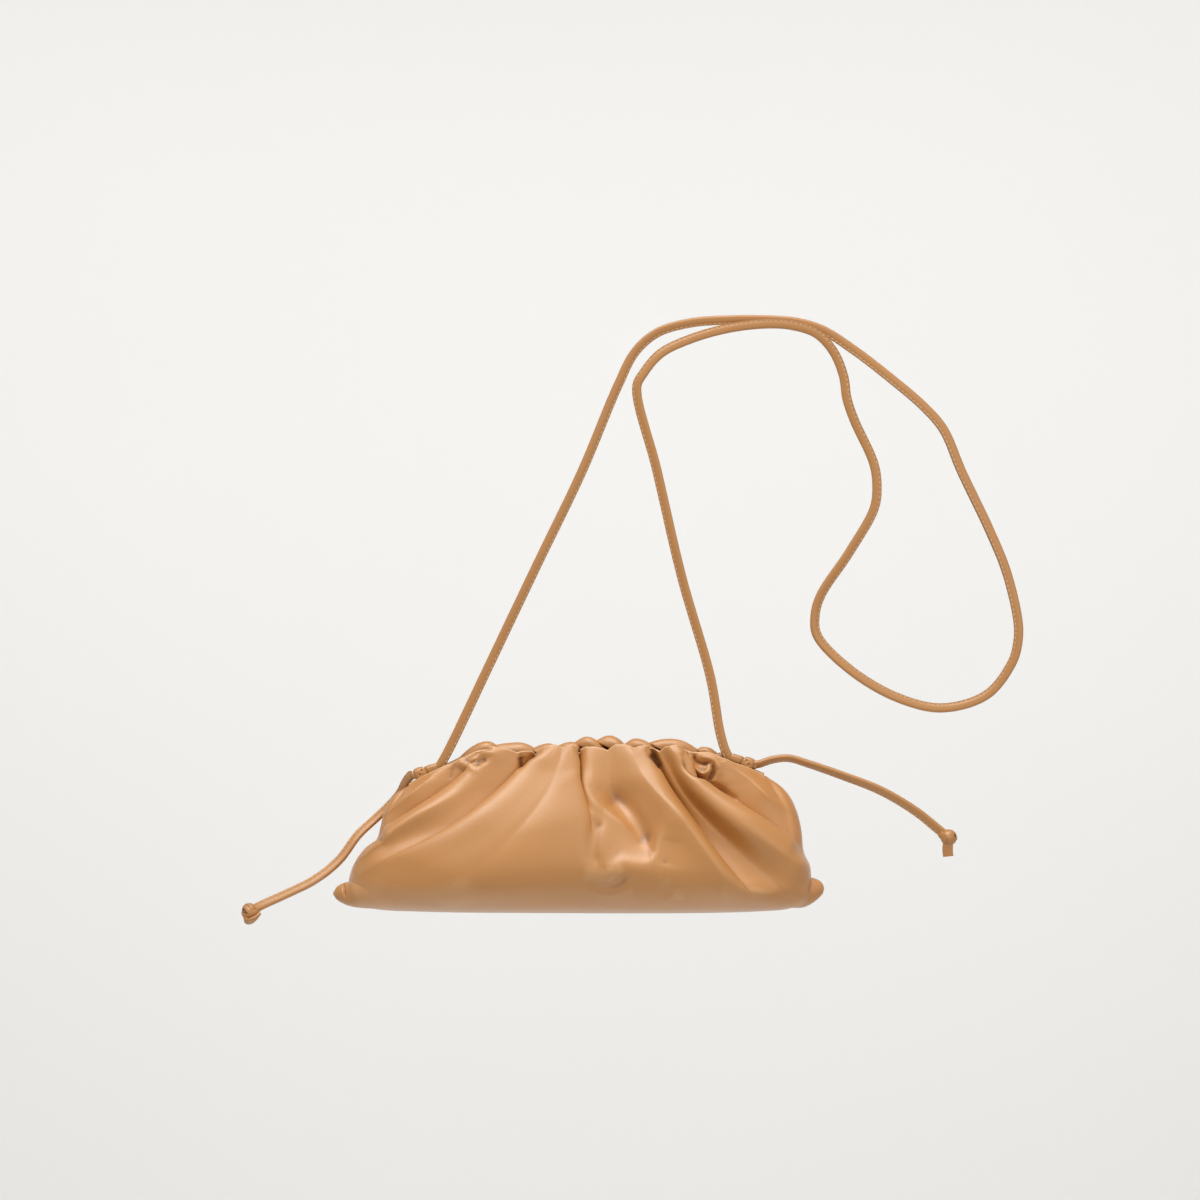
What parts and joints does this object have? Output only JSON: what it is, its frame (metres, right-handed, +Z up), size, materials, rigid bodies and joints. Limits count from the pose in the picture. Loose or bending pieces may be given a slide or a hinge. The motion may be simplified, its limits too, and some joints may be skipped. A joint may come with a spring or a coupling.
{
  "type": "crossbody pouch bag",
  "caption": "Small soft leather pouch bag with a gathered open mouth, hanging by a long narrow lace strap knotted at both ends of the mouth.",
  "frame": {"origin": "the point of the strap that is gripped, above the pouch, from which the whole bag hangs", "axes": "+Z up; +X to the right along the mouth, seen from the front; the front faces -Y"},
  "size_m": [0.3504, 0.0566, 0.2717],
  "materials": {
    "pouch_leather": "smooth caramel nappa with a satin sheen",
    "lace_leather": "folded and edge-stitched lace of the same leather, satin"
  },
  "bodies": {
    "root": {"front_panel": "pouch_leather", "back_panel": "pouch_leather", "left_corner": "pouch_leather", "right_corner": "pouch_leather", "strap_knot_left": "lace_leather", "strap_knot_right": "lace_leather", "shoulder_strap": "lace_leather", "tail_left": "lace_leather", "tail_right": "lace_leather", "end_knot_left": "lace_leather", "end_knot_right": "lace_leather"}
  },
  "joints": []
}
